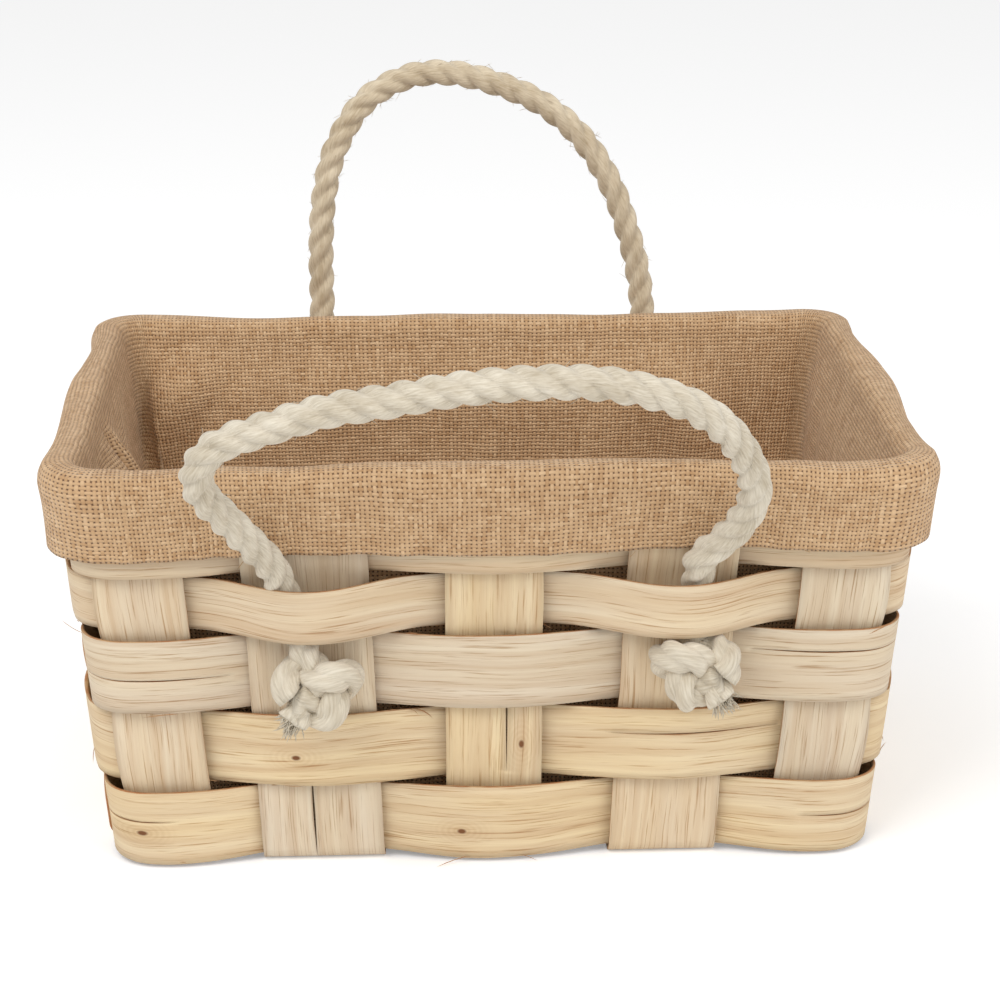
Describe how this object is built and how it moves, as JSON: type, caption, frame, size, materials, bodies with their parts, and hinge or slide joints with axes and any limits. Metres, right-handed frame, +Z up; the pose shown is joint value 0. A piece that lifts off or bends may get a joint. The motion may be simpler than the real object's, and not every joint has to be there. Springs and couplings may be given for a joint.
{
  "type": "woven chipwood basket",
  "caption": "Rectangular basket woven from wide chipwood strips, with a turned-over hessian liner and two swinging rope handles knotted through the weave.",
  "frame": {"origin": "centre of the base, on its underside where the middle long strip rests on the ground", "axes": "+Z up out of the open top, +X to the right along the long walls, -Y to the front, where the low handle leans"},
  "size_m": [0.354, 0.3281, 0.2857],
  "materials": {
    "upright_chipwood": "raw split poplar chip, straight grain up the strip, dry and matt",
    "woven_chipwood": "raw split poplar chip, grain along the band, pale straw, matt",
    "rim_chipwood": "raw chip band, hidden under the liner",
    "hessian": "plain-woven jute hessian, coarse, dry, slightly hairy",
    "rope": "three-strand laid jute and cotton rope, pale cream, hairy",
    "knot_rope": "the same rope tied in an overhand knot with a frayed end"
  },
  "bodies": {
    "basket": {"long_strip_1": "upright_chipwood", "long_strip_2": "upright_chipwood", "long_strip_3": "upright_chipwood", "long_strip_4": "upright_chipwood", "long_strip_5": "upright_chipwood", "cross_strip_1": "upright_chipwood", "cross_strip_2": "upright_chipwood", "cross_strip_3": "upright_chipwood", "weaver_row_1": "woven_chipwood", "weaver_row_2": "woven_chipwood", "weaver_row_3": "woven_chipwood", "weaver_row_4": "woven_chipwood", "weaver_row_5": "woven_chipwood", "rim_band": "rim_chipwood", "hessian_liner": "hessian", "front_left_rope_tail": "rope", "front_right_rope_tail": "rope", "back_left_rope_tail": "rope", "back_right_rope_tail": "rope", "front_left_knot": "knot_rope", "front_right_knot": "knot_rope", "back_left_knot": "knot_rope", "back_right_knot": "knot_rope"},
    "front_handle": {"front_handle_rope": "rope"},
    "back_handle": {"back_handle_rope": "rope"}
  },
  "joints": [
    {"name": "front_handle_swing", "type": "hinge", "parent": "basket", "child": "front_handle", "pos_m": [0, -0.12194, 0.1355], "axis": [1, 0, 0], "range_deg": [-22, 82]},
    {"name": "back_handle_swing", "type": "hinge", "parent": "basket", "child": "back_handle", "pos_m": [0, 0.12194, 0.1355], "axis": [-1, 0, 0], "range_deg": [0, 109]}
  ]
}
